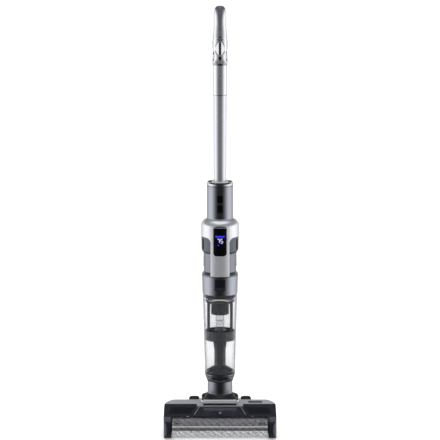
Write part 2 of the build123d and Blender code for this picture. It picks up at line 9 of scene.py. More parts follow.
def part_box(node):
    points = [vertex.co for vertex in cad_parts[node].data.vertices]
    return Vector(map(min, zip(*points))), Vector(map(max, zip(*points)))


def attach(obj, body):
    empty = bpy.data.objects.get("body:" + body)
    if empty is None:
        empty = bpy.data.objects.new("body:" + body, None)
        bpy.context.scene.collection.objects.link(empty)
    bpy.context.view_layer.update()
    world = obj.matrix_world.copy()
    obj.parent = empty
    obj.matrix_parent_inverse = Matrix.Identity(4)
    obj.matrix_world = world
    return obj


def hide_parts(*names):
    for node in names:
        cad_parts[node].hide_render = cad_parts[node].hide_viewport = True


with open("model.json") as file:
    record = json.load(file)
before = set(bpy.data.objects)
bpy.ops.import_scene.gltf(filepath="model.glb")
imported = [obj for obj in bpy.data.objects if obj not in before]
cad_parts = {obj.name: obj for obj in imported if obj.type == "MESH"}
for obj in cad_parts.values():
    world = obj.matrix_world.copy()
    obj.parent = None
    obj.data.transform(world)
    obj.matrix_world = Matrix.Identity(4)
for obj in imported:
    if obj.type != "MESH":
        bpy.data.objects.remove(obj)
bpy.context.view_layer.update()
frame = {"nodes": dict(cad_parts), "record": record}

mm = 0.001


# small helpers

def hexColour(code):
    # sRGB hex to the linear colour that the shader wants
    parts = [int(code[i:i + 2], 16) / 255 for i in (1, 3, 5)]
    linear = [c / 12.92 if c <= 0.04045 else ((c + 0.055) / 1.055) ** 2.4 for c in parts]
    return (*linear, 1.0)


def addNode(tree, kind, settings=None, links=None):
    # one node, its settings by input name or attribute, and what feeds it
    node = tree.nodes.new(kind)
    for key, value in (settings or {}).items():
        if key in node.inputs:
            node.inputs[key].default_value = value
        else:
            setattr(node, key, value)
    for key, source in (links or {}).items():
        tree.links.new(source, node.inputs[key])
    return node


def startMaterial(name, **sockets):
    # a material with its shader's plain values set; spaces in socket names are written as _
    material = bpy.data.materials.new(name)
    material.use_nodes = True
    shader = material.node_tree.nodes["Principled BSDF"]
    for key, value in sockets.items():
        shader.inputs[key.replace("_", " ")].default_value = value
    return material, material.node_tree, shader


def grainScale(sizeMm):
    # noise scale whose blotches are about this many millimetres across
    return 1.0 / (sizeMm * mm)


def lowCorner(node):
    return Vector(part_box(node)[0])


def highCorner(node):
    return Vector(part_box(node)[1])


def centre(node):
    return (lowCorner(node) + highCorner(node)) / 2


stickY = centre("handle_tube").y                                # the upright body is built round this line
neckSplit = lowCorner("swivel_neck").z / mm + 31                # the neck is glossy above this height
gripSplit = highCorner("handle_front_shell").z / mm - 9         # and above this one the grip has a painted reflection, dark grey where its top curves back
cutSnap = 0.00001                                               # a cut this near a vertex goes through it


# finishes

def lacqueredSilver():
    # ABS with a satin metallic lacquer: tiny flakes make it glint and soften its reflections
    material, tree, shader = startMaterial("satinSilverLacquerOnAbs", Metallic=0.76, Roughness=0.28,
                                           Coat_Weight=0.4, Coat_Roughness=0.1)
    place = addNode(tree, "ShaderNodeTexCoord")
    flakes = addNode(tree, "ShaderNodeTexNoise", {"Scale": grainScale(0.5), "Detail": 3.0},
                     {"Vector": place.outputs["Object"]})
    tint = addNode(tree, "ShaderNodeValToRGB", links={"Fac": flakes.outputs["Fac"]})
    tint.color_ramp.elements[0].position = 0.35
    tint.color_ramp.elements[0].color = hexColour("#DFE2E9")
    tint.color_ramp.elements[1].position = 0.65
    tint.color_ramp.elements[1].color = hexColour("#EFF1F6")
    blotch = addNode(tree, "ShaderNodeTexNoise", {"Scale": grainScale(40), "Detail": 2.0},
                     {"Vector": place.outputs["Object"]})
    gloss = addNode(tree, "ShaderNodeMapRange", {"To Min": 0.26, "To Max": 0.34},
                    {"Value": blotch.outputs["Fac"]})
    orange = addNode(tree, "ShaderNodeBump", {"Strength": 0.06, "Distance": 0.02 * mm},
                     {"Height": flakes.outputs["Fac"]})
    tree.links.new(tint.outputs["Color"], shader.inputs["Base Color"])
    tree.links.new(gloss.outputs["Result"], shader.inputs["Roughness"])
    tree.links.new(orange.outputs["Normal"], shader.inputs["Normal"])
    return material


def anodisedAluminium():
    # drawn and anodised tube: faint lines along its length, wide soft highlights
    material, tree, shader = startMaterial("anodisedDrawnAluminium", Metallic=0.9)
    place = addNode(tree, "ShaderNodeTexCoord")
    stretch = addNode(tree, "ShaderNodeMapping", {"Scale": (1.0, 1.0, 0.02)},
                      {"Vector": place.outputs["Object"]})
    lines = addNode(tree, "ShaderNodeTexNoise", {"Scale": grainScale(0.8), "Detail": 4.0},
                    {"Vector": stretch.outputs["Vector"]})
    tint = addNode(tree, "ShaderNodeMix", {"data_type": "RGBA", "A": hexColour("#E0E3EA"),
                                           "B": hexColour("#ECEEF4")}, {"Factor": lines.outputs["Fac"]})
    gloss = addNode(tree, "ShaderNodeMapRange", {"To Min": 0.28, "To Max": 0.36},
                    {"Value": lines.outputs["Fac"]})
    lay = addNode(tree, "ShaderNodeBump", {"Strength": 0.08, "Distance": 0.02 * mm},
                  {"Height": lines.outputs["Fac"]})
    tree.links.new(tint.outputs["Result"], shader.inputs["Base Color"])
    tree.links.new(gloss.outputs["Result"], shader.inputs["Roughness"])
    tree.links.new(lay.outputs["Normal"], shader.inputs["Normal"])
    return material


def metallicLacquer(name, dark, light, metallic, roughness, coat):
    # tinted metallic lacquer under clear coat: deep colour in the middle, bright soft edges
    material, tree, shader = startMaterial(name, Metallic=metallic, Coat_Weight=coat,
                                           Coat_Roughness=0.06)
    place = addNode(tree, "ShaderNodeTexCoord")
    flakes = addNode(tree, "ShaderNodeTexNoise", {"Scale": grainScale(0.6), "Detail": 2.0},
                     {"Vector": place.outputs["Object"]})
    tint = addNode(tree, "ShaderNodeMix", {"data_type": "RGBA", "A": hexColour(dark),
                                           "B": hexColour(light)}, {"Factor": flakes.outputs["Fac"]})
    blotch = addNode(tree, "ShaderNodeTexNoise", {"Scale": grainScale(30), "Detail": 3.0},
                     {"Vector": place.outputs["Object"]})
    gloss = addNode(tree, "ShaderNodeMapRange", {"To Min": roughness - 0.03, "To Max": roughness + 0.04},
                    {"Value": blotch.outputs["Fac"]})
    tree.links.new(tint.outputs["Result"], shader.inputs["Base Color"])
    tree.links.new(gloss.outputs["Result"], shader.inputs["Roughness"])
    return material


def mouldedPlastic(name, colour, shade, roughness, grainMm, bump):
    # injection-moulded plastic from a spark-eroded tool: an even, fine leathery grain
    material, tree, shader = startMaterial(name, IOR=1.5)
    place = addNode(tree, "ShaderNodeTexCoord")
    grain = addNode(tree, "ShaderNodeTexNoise", {"Scale": grainScale(grainMm), "Detail": 3.0},
                    {"Vector": place.outputs["Object"]})
    tint = addNode(tree, "ShaderNodeMix", {"data_type": "RGBA", "A": hexColour(shade),
                                           "B": hexColour(colour)}, {"Factor": grain.outputs["Fac"]})
    gloss = addNode(tree, "ShaderNodeMapRange", {"To Min": roughness - 0.06, "To Max": roughness + 0.06},
                    {"Value": grain.outputs["Fac"]})
    relief = addNode(tree, "ShaderNodeBump", {"Strength": bump, "Distance": 0.05 * mm},
                     {"Height": grain.outputs["Fac"]})
    tree.links.new(tint.outputs["Result"], shader.inputs["Base Color"])
    tree.links.new(gloss.outputs["Result"], shader.inputs["Roughness"])
    tree.links.new(relief.outputs["Normal"], shader.inputs["Normal"])
    return material


def clearPlastic(name, colour, facing, grazing, roughness):
    # polished clear moulding: almost nothing to see face on, and a grey line where its wall is seen edge on
    material, tree, shader = startMaterial(name, IOR=1.5)
    place = addNode(tree, "ShaderNodeTexCoord")
    flow = addNode(tree, "ShaderNodeTexNoise", {"Scale": grainScale(25), "Detail": 1.0},
                   {"Vector": place.outputs["Object"]})
    gloss = addNode(tree, "ShaderNodeMapRange", {"To Min": roughness, "To Max": roughness + 0.03},
                    {"Value": flow.outputs["Fac"]})
    lighter = [min(1.0, 1.15 * c) for c in hexColour(colour)[:3]] + [1.0]
    tint = addNode(tree, "ShaderNodeMix", {"data_type": "RGBA", "A": hexColour(colour), "B": lighter},
                   {"Factor": flow.outputs["Fac"]})
    edge = addNode(tree, "ShaderNodeLayerWeight", {"Blend": 0.5})
    cover = addNode(tree, "ShaderNodeMapRange", {"interpolation_type": "SMOOTHSTEP", "From Min": 0.35,
                                                 "From Max": 0.97, "To Min": facing, "To Max": grazing},
                    {"Value": edge.outputs["Facing"]})
    tree.links.new(tint.outputs["Result"], shader.inputs["Base Color"])
    tree.links.new(gloss.outputs["Result"], shader.inputs["Roughness"])
    tree.links.new(cover.outputs["Result"], shader.inputs["Alpha"])
    return material


def polishedChrome():
    # bright plated plastic: mirror-like, with the slightest haze
    material, tree, shader = startMaterial("polishedChromePlating", Metallic=1.0)
    place = addNode(tree, "ShaderNodeTexCoord")
    haze = addNode(tree, "ShaderNodeTexNoise", {"Scale": grainScale(12), "Detail": 2.0},
                   {"Vector": place.outputs["Object"]})
    gloss = addNode(tree, "ShaderNodeMapRange", {"To Min": 0.1, "To Max": 0.17},
                    {"Value": haze.outputs["Fac"]})
    tint = addNode(tree, "ShaderNodeMix", {"data_type": "RGBA", "A": hexColour("#DCDDE0"),
                                           "B": hexColour("#EDEEF0")}, {"Factor": haze.outputs["Fac"]})
    tree.links.new(gloss.outputs["Result"], shader.inputs["Roughness"])
    tree.links.new(tint.outputs["Result"], shader.inputs["Base Color"])
    return material


def litDisplay(name, colour, strength):
    # printed mask lit from behind: even glow with a faint dot structure
    material, tree, shader = startMaterial(name, Roughness=0.3, Emission_Strength=strength)
    place = addNode(tree, "ShaderNodeTexCoord")
    dots = addNode(tree, "ShaderNodeTexVoronoi", {"Scale": grainScale(0.7)},
                   {"Vector": place.outputs["Object"]})
    glow = addNode(tree, "ShaderNodeMix", {"data_type": "RGBA", "A": hexColour(colour),
                                           "B": hexColour("#101040")})
    spread = addNode(tree, "ShaderNodeMapRange", {"To Min": 0.0, "To Max": 0.35},
                     {"Value": dots.outputs["Distance"]})
    tree.links.new(spread.outputs["Result"], glow.inputs["Factor"])
    tree.links.new(glow.outputs["Result"], shader.inputs["Emission Color"])
    tree.links.new(glow.outputs["Result"], shader.inputs["Base Color"])
    return material


def plushFibre():
    # microfibre pile: soft sheen, each tuft a little lighter or darker, and painted shade down in the seams
    material, tree, shader = startMaterial("microfibrePlush", Roughness=0.85, Sheen_Weight=0.5,
                                           Sheen_Roughness=0.4)
    place = addNode(tree, "ShaderNodeTexCoord")
    tufts = addNode(tree, "ShaderNodeTexNoise", {"Scale": grainScale(1.8), "Detail": 3.0},
                    {"Vector": place.outputs["Object"]})
    shade = addNode(tree, "ShaderNodeValToRGB", links={"Fac": tufts.outputs["Fac"]})
    shade.color_ramp.elements[0].position = 0.4
    shade.color_ramp.elements[0].color = hexColour("#76787D")
    shade.color_ramp.elements[1].position = 0.62
    shade.color_ramp.elements[1].color = hexColour("#F4F4F6")
    height = addNode(tree, "ShaderNodeAttribute", {"attribute_name": "pileHeightAndSeamShade"})
    tone = addNode(tree, "ShaderNodeMix", {"data_type": "RGBA", "A": hexColour("#17181B")},
                   {"B": shade.outputs["Color"], "Factor": height.outputs["Fac"]})
    tree.links.new(tone.outputs["Result"], shader.inputs["Base Color"])
    return material


print("finishes")
finish = {
    "silver": lacqueredSilver(),
    "tube": anodisedAluminium(),
    "gripSilver": metallicLacquer("brightSilverLacquer", "#E6E8EC", "#F0F1F4", 0.9, 0.24, 0.4),
    # grey for the button rim and the grip seams, and the grip's painted dark reflection
    "greyTrimAndReflection": metallicLacquer("softGreyLacquerAndPaintedReflection", "#585B63", "#62656D", 0.3, 0.36, 0.2),
    "buttonWhite": metallicLacquer("paleSatinLacquer", "#F2F3F5", "#F8F8FA", 0.3, 0.3, 0.3),
    "gunmetal": metallicLacquer("gunmetalGlossLacquer", "#9DA1AB", "#ABAFB9", 1.0, 0.18, 0.4),
    "housing": metallicLacquer("greyGlossLacquer", "#7C7F85", "#8E9198", 0.9, 0.26, 0.4),
    "pod": metallicLacquer("darkGreySatinLacquer", "#565A62", "#62666E", 0.6, 0.34, 0.2),
    "neck": metallicLacquer("darkGreyGlossLacquer", "#85878E", "#93959C", 1.0, 0.2, 0.4),
    "navy": metallicLacquer("blueBlackGlossLacquer", "#282935", "#323341", 0.5, 0.25, 0.5),
    "inlay": metallicLacquer("pianoBlackInlay", "#0C0C16", "#12121E", 0.1, 0.14, 0.8),
    "headTop": metallicLacquer("greyMetallicHeadLacquer", "#9EA2AB", "#BCC0C8", 0.4, 0.34, 0.3),
    "barSatin": metallicLacquer("satinNickelPlating", "#C6C9D0", "#D8DAE0", 0.4, 0.26, 0.4),
    "chrome": polishedChrome(),
    "clear": clearPlastic("clearCopolyester", "#9A9EA6", 0.025, 0.8, 0.02),
    "smoke": clearPlastic("smokyPolycarbonate", "#1A1B20", 0.24, 0.9, 0.03),
    # painted highlight: a pale strip laid along the window's crease
    "creaseHighlight": clearPlastic("paintedCreaseHighlight", "#D6D8DC", 0.42, 0.7, 0.1),
    "water": clearPlastic("smokyClearCopolyester", "#5F6771", 0.2, 0.85, 0.03),
    "black": mouldedPlastic("blackMouldedAbs", "#1F2023", "#141517", 0.36, 0.6, 0.12),
    "innerBlack": mouldedPlastic("blackGlossPolypropylene", "#2C2E32", "#202226", 0.24, 1.2, 0.04),
    "rubber": mouldedPlastic("blackMouldedRubber", "#1E1E20", "#131314", 0.55, 0.8, 0.2),
    "pale": mouldedPlastic("paleGreyMouldedAbs", "#D6D8DA", "#C6C8CB", 0.4, 0.8, 0.08),
    "board": mouldedPlastic("solderMaskedBoard", "#0F4A2A", "#0A3A20", 0.4, 2.0, 0.1),
    "cell": mouldedPlastic("shrinkWrappedCell", "#2A5A78", "#224C66", 0.3, 3.0, 0.04),
    "steel": mouldedPlastic("turnedSteel", "#B4B5B8", "#9D9EA2", 0.3, 0.4, 0.1),
    "display": mouldedPlastic("blackDisplayGlass", "#050507", "#030304", 0.1, 6.0, 0.0),
    "litBlue": litDisplay("blueDisplaySegment", "#1A1AD8", 1.0),
    "litPale": litDisplay("paleDisplaySegment", "#C3C4F4", 0.9),
    "lens": clearPlastic("frostedLampLens", "#C8C9CC", 0.9, 1.0, 0.3),
    "liner": mouldedPlastic("milkyLinerPaintedGlow", "#FBFCFD", "#F4F5F7", 0.3, 3.0, 0.02),
    "plush": plushFibre(),
}
finish["steel"].node_tree.nodes["Principled BSDF"].inputs["Metallic"].default_value = 1.0
linerGlowShader = finish["liner"].node_tree.nodes["Principled BSDF"]
linerGlowShader.inputs["Emission Color"].default_value = hexColour("#FFFFFF")
linerGlowShader.inputs["Emission Strength"].default_value = 0.55        # painted glow, standing in for room light coming through the sheet

nodeFinish = {
    "silver": ["silver_shell"],
    "barSatin": ["trim_bar"],
    "gripSilver": ["handle_sleeve", "handle_front_shell", "handle_rear_shell"],
    "buttonWhite": ["power_button"],
    "tube": ["handle_tube"],
    "gunmetal": ["battery_housing", "tank_lid"],
    "housing": ["main_housing"],
    "neck": ["tank_seat"],
    "pod": ["right_pod", "left_pod"],
    "navy": ["brush_cover", "right_cheek", "left_cheek"],
    "inlay": ["cover_inlays", "tank_latch"],
    "headTop": ["head_top_shell"],
    "chrome": ["chrome_ring"],
    "clear": ["dirty_tank"],
    "water": ["clean_tank"],
    "smoke": ["brush_window"],
    "black": ["yoke", "swivel_neck", "head_chassis", "head_latch", "suction_duct", "spray_bar", "motor_pulley",
              "brush_core", "brush_end_cap", "brush_pulley", "right_wheel_hub", "left_wheel_hub",
              "charge_socket", "water_pump"],
    "innerBlack": ["tank_filter", "tank_strainer", "riser_tube"],
    "rubber": ["right_tyre", "left_tyre", "rear_squeegee", "drive_belt", "tank_seal", "clean_tank_cap"],
    "pale": ["rear_spine", "tube_collar", "tank_float", "impeller"],
    "board": ["control_board"],
    "cell": ["battery_cells"],
    "steel": ["brush_motor", "suction_motor", "wheel_axles", "pivot_pins", "head_screws"],
    "display": ["display_glass"],
    "lens": ["head_lamp_lens"],
    "plush": ["brush_pile"],
}
bodyOf = {node: body for body, nodes in frame["record"]["behaviour"]["bodies"].items() for node in nodes}
finishOf = {node: key for key, nodes in nodeFinish.items() for node in nodes}


# making pieces

def finishPiece(name, bm, like, material, smoothAngle=40, outward=True):
    # turns a bmesh into a piece that rides with the CAD node it is like
    if outward:
        bmesh.ops.recalc_face_normals(bm, faces=bm.faces[:])
    sharp = math.radians(smoothAngle)
    for face in bm.faces:
        face.smooth = True
    for edge in bm.edges:
        edge.smooth = len(edge.link_faces) != 2 or edge.calc_face_angle(0) < sharp
    mesh = bpy.data.meshes.new(name)
    bm.to_mesh(mesh)
    bm.free()
    piece = bpy.data.objects.new(name, mesh)
    bpy.context.scene.collection.objects.link(piece)
    mesh.materials.append(material)
    weights = piece.modifiers.new("evenShading", "WEIGHTED_NORMAL")
    weights.keep_sharp = True
    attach(piece, bodyOf[like])
    return piece


def mergedCopy(node):
    # a bmesh of a CAD node with its loose triangles joined
    bm = bmesh.new()
    bm.from_mesh(frame["nodes"][node].data)
    bmesh.ops.remove_doubles(bm, verts=bm.verts[:], dist=0.002 * mm)
    bmesh.ops.dissolve_limit(bm, angle_limit=math.radians(0.5), verts=bm.verts[:], edges=bm.edges[:])
    return bm


def cadSkin(node, radiusMm=0.35, cap=None):
    # a merged copy of a CAD node with its edges rounded, which stands for it
    # the cap is a height, and the finish that the piece has above it
    bm = mergedCopy(node)
    edges = [e for e in bm.edges if len(e.link_faces) == 2 and e.calc_face_angle(0) > math.radians(32)]
    bmesh.ops.bevel(bm, geom=edges, offset=radiusMm * mm, offset_type="OFFSET", affect="EDGES",
                    segments=2, profile=0.5, material=-1, clamp_overlap=True)
    if cap:
        bmesh.ops.bisect_plane(bm, geom=bm.verts[:] + bm.edges[:] + bm.faces[:], dist=cutSnap,
                               plane_co=(0, 0, cap[0] * mm), plane_no=(0, 0, 1))
        for face in bm.faces:
            face.material_index = int(face.calc_center_median().z > cap[0] * mm)
    piece = finishPiece(node + "Skin", bm, node, finish[finishOf[node]], outward=False)
    if cap:
        piece.data.materials.append(finish[cap[1]])
    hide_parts(node)
    return piece


def roundBar(bm, start, end, radiusMm, segments=32, tipMm=None):
    # a capped cylinder or cone between two points
    start, end = Vector(start), Vector(end)
    along = end - start
    turn = along.to_track_quat("Z", "Y").to_matrix().to_4x4()
    tip = radiusMm if tipMm is None else tipMm
    bmesh.ops.create_cone(bm, cap_ends=True, segments=segments, radius1=radiusMm * mm, radius2=tip * mm,
                          depth=along.length, matrix=Matrix.Translation((start + end) / 2) @ turn)


def slab(bm, low, high, matrix=None):
    # a block between two corners, in metres
    low, high = Vector(low), Vector(high)
    size = Matrix.Diagonal((*(high - low), 1.0))
    place = (matrix or Matrix()) @ Matrix.Translation((low + high) / 2)
    bmesh.ops.create_cube(bm, size=1.0, matrix=place @ size)


def softenEdges(bm, radiusMm, segments=2):
    # rounds every edge where two faces meet at more than 30 degrees
    edges = [e for e in bm.edges if len(e.link_faces) == 2 and e.calc_face_angle(0) > math.radians(30)]
    bmesh.ops.bevel(bm, geom=edges, offset=radiusMm * mm, offset_type="OFFSET", affect="EDGES",
                    segments=segments, profile=0.5, material=-1, clamp_overlap=True)


def spinClosed(bm, points, cent, axis, steps=96):
    # turns a closed outline once round an axis
    verts = [bm.verts.new(point) for point in points]
    edges = [bm.edges.new((a, b)) for a, b in zip(verts, verts[1:] + verts[:1])]
    bmesh.ops.spin(bm, geom=verts + edges, cent=cent, axis=axis, angle=2 * math.pi, steps=steps,
                   use_merge=True)
    bmesh.ops.remove_doubles(bm, verts=bm.verts[:], dist=0.001 * mm)


def ring(name, points, like, material):
    # a turned ring about the upright body, from (radius, height) points in millimetres
    bm = bmesh.new()
    spinClosed(bm, [(r * mm, stickY, z * mm) for r, z in points], (0, stickY, 0), (0, 0, 1))
    return finishPiece(name, bm, like, material)


def roundedOutline(x, z, width, height, radius, steps=5):
    # (x, z) points of a rectangle with round corners
    points = []
    for quarter, (sx, sz) in enumerate(((1, 1), (-1, 1), (-1, -1), (1, -1))):
        for step in range(steps + 1):
            angle = math.radians(90 * (quarter + step / steps))
            points.append((x + sx * (width / 2 - radius) + radius * math.cos(angle),
                           z + sz * (height / 2 - radius) + radius * math.sin(angle)))
    return points


surfaceOf = {}        # filled as surfaces are asked for


def surfaceTree(node):
    if node not in surfaceOf:
        bm = bmesh.new()
        bm.from_mesh(frame["nodes"][node].data)
        surfaceOf[node] = BVHTree.FromBMesh(bm)
        bm.free()
    return surfaceOf[node]


def surfaceY(node, x, z, side):
    # where a line along Y first meets a CAD node, from the front (-1) or from behind (1), or None
    hit = surfaceTree(node).ray_cast(Vector((x, side, z)), Vector((0, -side, 0)))[0]
    return None if hit is None else hit.y


def surfaceZ(node, x, y):
    # height of a CAD node's top at (x, y)
    return surfaceTree(node).ray_cast(Vector((x, y, 2)), Vector((0, 0, -1)))[0].z


def drape(name, outlines, node, proudMm, material, stepMm=(3.0, 0.0), side=-1, inner=None,
          deepMm=0.4):
    # lays flat outlines on a CAD node's front or back, proudMm out of its surface and deepMm into it
    # stepMm is how far apart they are cut along x and z to follow the surface, with 0 for no cuts
    bm = bmesh.new()
    for outline in outlines:
        loop = [bm.verts.new((x * mm, 0, z * mm)) for x, z in outline]
        if inner is None:
            bm.faces.new(loop)
            continue
        hole = [bm.verts.new((x * mm, 0, z * mm)) for x, z in inner]
        edges = [bm.edges.new(pair) for ends in (loop, hole) for pair in zip(ends, ends[1:] + ends[:1])]
        bmesh.ops.bridge_loops(bm, edges=edges)
    for axis, step in ((0, stepMm[0]), (2, stepMm[1])):
        places = [v.co[axis] for v in bm.verts]
        cut = min(places) + step * mm
        while step and cut < max(places) - 0.2 * mm:
            point, normal = Vector((0, 0, 0)), Vector((0, 0, 0))
            point[axis], normal[axis] = cut, 1.0
            bmesh.ops.bisect_plane(bm, geom=bm.verts[:] + bm.edges[:] + bm.faces[:], dist=cutSnap,
                                   plane_co=point, plane_no=normal)
            cut += step * mm
    under = bm.verts[:]
    made = bmesh.ops.extrude_face_region(bm, geom=bm.faces[:])
    top = {v for v in made["geom"] if isinstance(v, bmesh.types.BMVert)}
    known = [y for y in (surfaceY(node, v.co.x, v.co.z, side) for v in under) if y is not None]
    middle = sum(known) / len(known)
    for vert in bm.verts:
        y = surfaceY(node, vert.co.x, vert.co.z, side)
        level = proudMm if vert in top else -deepMm
        vert.co.y = (middle if y is None else y) + side * level * mm
    return finishPiece(name, bm, node, material)


print("CAD nodes")
for node, key in finishOf.items():
    cadObject = frame["nodes"][node]
    cadObject.data.materials.clear()
    cadObject.data.materials.append(finish[key])

for node in ("silver_shell", "battery_housing", "main_housing", "tank_lid", "right_pod", "left_pod",
             "head_top_shell", "brush_cover", "right_cheek", "left_cheek", "tank_seat",
             "rear_spine", "trim_bar", "head_latch", "tank_latch", "power_button", "head_chassis",
             "riser_tube", "clean_tank_cap", "charge_socket", "right_wheel_hub", "left_wheel_hub"):
    cadSkin(node)
cadSkin("yoke", radiusMm=0.5)
cadSkin("swivel_neck", cap=(neckSplit, "neck"))
# above gripSplit the grip shells take the painted dark reflection
for node in ("handle_front_shell", "handle_rear_shell"):
    cadSkin(node, cap=(gripSplit, "greyTrimAndReflection"))


# floor head

plush = dict(
    seams=10, seamPitch=17.6, seamHalf=1.7,         # helical seams, their distance along the roller and half width
    groove=2.2, tuft=1.0, tuftSize=1.7,             # depth of the seams and of the tufts, and how big a tuft is
    trim=0.35, core=0.62,                           # clipped off the radius, and where the ends stop
    along=236, round=112,                           # divisions
)


def plushRoller():
    low, high = lowCorner("brush_pile"), highCorner("brush_pile")
    middle = (low + high) / 2
    radius = (high.z - low.z) / 2 - plush["trim"] * mm
    inner = (high.z - low.z) / 2 * plush["core"]
    bm = bmesh.new()
    xs = [low.x + (high.x - low.x) * i / plush["along"] for i in range(plush["along"] + 1)]
    rail = [(xs[0], middle.y, middle.z + inner)] + [(x, middle.y, middle.z + radius) for x in xs]
    rail.append((xs[-1], middle.y, middle.z + inner))
    spinClosed(bm, rail, middle, (1, 0, 0), plush["round"])
    # how far out the pile stands; the finish also uses it for painted shade in the seams
    pile = bm.verts.layers.float.new("pileHeightAndSeamShade")
    for vert in bm.verts:
        across = Vector((0, vert.co.y - middle.y, vert.co.z - middle.z))
        if across.length < radius * 0.9:
            continue
        angle = math.atan2(across.y, across.z)
        phase = vert.co.x / (plush["seamPitch"] * mm) + plush["seams"] * angle / (2 * math.pi)
        offSeam = abs(phase - round(phase)) * plush["seamPitch"]
        height = min(1.0, offSeam / plush["seamHalf"])
        spot = Vector((vert.co.x, across.y, across.z)) / (plush["tuftSize"] * mm)
        fibre = noise.noise(spot) * 0.5 + 0.5
        vert[pile] = height * (0.75 + 0.25 * fibre)
        sink = plush["groove"] * (1 - height) + plush["tuft"] * (1 - fibre) * height
        vert.co -= across.normalized() * mm * sink
    piece = finishPiece("plushRoller", bm, "brush_pile", finish["plush"], smoothAngle=80)
    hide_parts("brush_pile")


tyre = dict(
    grooves=(-4.0, 4.0), grooveTop=0.6, grooveFoot=0.4, grooveDeep=0.5,     # places, half widths and depth
    crown=6.0, shoulderIn=2.5, shoulderDrop=1.6, wallDrop=5.2, footDrop=7,  # from its side and its outer radius
)


def tread(side):
    # tyre with rounded shoulders and two fine grooves
    node = side + "_tyre"
    low, high = lowCorner(node), highCorner(node)
    middle = (low + high) / 2
    full = (high.z - low.z) / 2 / mm
    half = (high.x - low.x) / 2 / mm
    shoulder = [(-half, full - tyre["footDrop"]), (-half, full - tyre["wallDrop"]),
                (-half + tyre["shoulderIn"], full - tyre["shoulderDrop"]), (-half + tyre["crown"], full)]
    outline = shoulder[:]
    for groove in tyre["grooves"]:
        outline += [(groove - tyre["grooveTop"], full), (groove - tyre["grooveFoot"], full - tyre["grooveDeep"]),
                    (groove + tyre["grooveFoot"], full - tyre["grooveDeep"]), (groove + tyre["grooveTop"], full)]
    outline += [(-x, r) for x, r in reversed(shoulder)]
    bm = bmesh.new()
    spinClosed(bm, [(middle.x + x * mm, middle.y, middle.z + r * mm) for x, r in outline], middle, (1, 0, 0))
    piece = finishPiece(side + "TreadedTyre", bm, node, finish["rubber"], smoothAngle=50)
    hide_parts(node)


cover = dict(
    highlightBack=(53.5, -37.0), highlightFront=(66.0, -88.0), highlightRadius=0.7,     # painted highlights, from (x, y) to (x, y)
    grooves=((-62, 46), (-72, 48)), grooveStart=9, grooveRadius=0.55,       # y and reach of each groove
    catch=(83, -100.5),                                                     # the small catches, (x, y)
    clipX=108, clipZ=44, studAcross=12, studUp=6,                           # window clips and their studs
    cheekRibs=(129.5, 133, 136.5), cheekRibZ=27,                            # ribs on the rounded ends
    creaseZ=36.6, lipShadowUp=1.7,                                                # long painted lines on the window: a highlight along the crease, shadow at the lower lip
)


def headDetails():
    coverTop = highCorner("brush_cover")
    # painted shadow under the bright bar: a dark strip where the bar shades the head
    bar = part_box("trim_bar")
    bm = bmesh.new()
    slab(bm, (bar[0][0], bar[0][1] + 0.8 * mm, coverTop.z),
         (bar[1][0], bar[1][1] - 0.5 * mm, bar[0][2] + 0.2 * mm))
    softenEdges(bm, 0.4)
    finishPiece("trimBarShadowStrip", bm, "trim_bar", finish["black"])
    for name, side in (("left", -1), ("right", 1)):
        # a painted highlight along the slanted side of the cover's raised middle, and its two grooves
        bm = bmesh.new()
        ends = [Vector((side * x * mm, y * mm, 0)) for x, y in (cover["highlightBack"], cover["highlightFront"])]
        for end in ends:
            end.z = surfaceZ("brush_cover", end.x, end.y) + 0.2 * mm
        roundBar(bm, ends[0], ends[1], cover["highlightRadius"], 12)
        finishPiece(name + "CoverEdgeHighlight", bm, "brush_cover", finish["headTop"])
        bm = bmesh.new()
        for y, reach in cover["grooves"]:
            ends = [(side * x * mm, y * mm, surfaceZ("brush_cover", side * x * mm, y * mm))
                    for x in (cover["grooveStart"], reach)]
            roundBar(bm, ends[0], ends[1], cover["grooveRadius"], 10)
        finishPiece(name + "CoverGrooves", bm, "brush_cover", finish["inlay"])
        bm = bmesh.new()
        x, y = side * cover["catch"][0] * mm, cover["catch"][1] * mm
        z = surfaceZ("brush_cover", x, y)
        slab(bm, (x - 1.6 * mm, y - 1.2 * mm, z - 1 * mm), (x + 1.6 * mm, y + 0.6 * mm, z + 0.35 * mm))
        softenEdges(bm, 0.3)
        finishPiece(name + "CoverCatch", bm, "brush_cover", finish["pale"])
        # window clip: a bar between two rows of studs
        middle = side * cover["clipX"]
        marks = [roundedOutline(middle + across, cover["clipZ"] + up, 1.5, 1.5, 0.6, 2)
                 for across in (-cover["studAcross"], cover["studAcross"])
                 for up in (-cover["studUp"], 0, cover["studUp"])]
        drape(name + "WindowStuds", marks, "brush_window", 0.35, finish["pale"], stepMm=(0, 0))
        drape(name + "WindowClip", [roundedOutline(middle, cover["clipZ"], 17, 1.6, 0.7, 2)], "brush_window",
              0.3, finish["black"], stepMm=(0, 0.8))
        ribs = [roundedOutline(side * x, cover["cheekRibZ"], 1.4, 40, 0.6, 2) for x in cover["cheekRibs"]]
        drape(name + "CheekRibs", ribs, name + "_cheek", 0.5, finish["black"], stepMm=(0, 2.5))
    # painted highlight along the window's crease and painted shadow at its lower lip
    drape("windowCreaseHighlight", [roundedOutline(0, cover["creaseZ"], 246, 3.0, 1.2, 2)], "brush_window", 0.15,
          finish["creaseHighlight"], stepMm=(0, 1.0))
    # painted shadow: a dark strip along the window's lower lip
    edge = lowCorner("brush_window").z / mm
    drape("windowLowerLipShadow", [roundedOutline(0, edge + cover["lipShadowUp"], 244, 2.2, 0.6, 2)], "brush_window", 0.3,
          finish["black"], stepMm=(0, 0.8))


print("floor head")
plushRoller()
tread("right")
tread("left")
headDetails()


# clear tank and what is in it

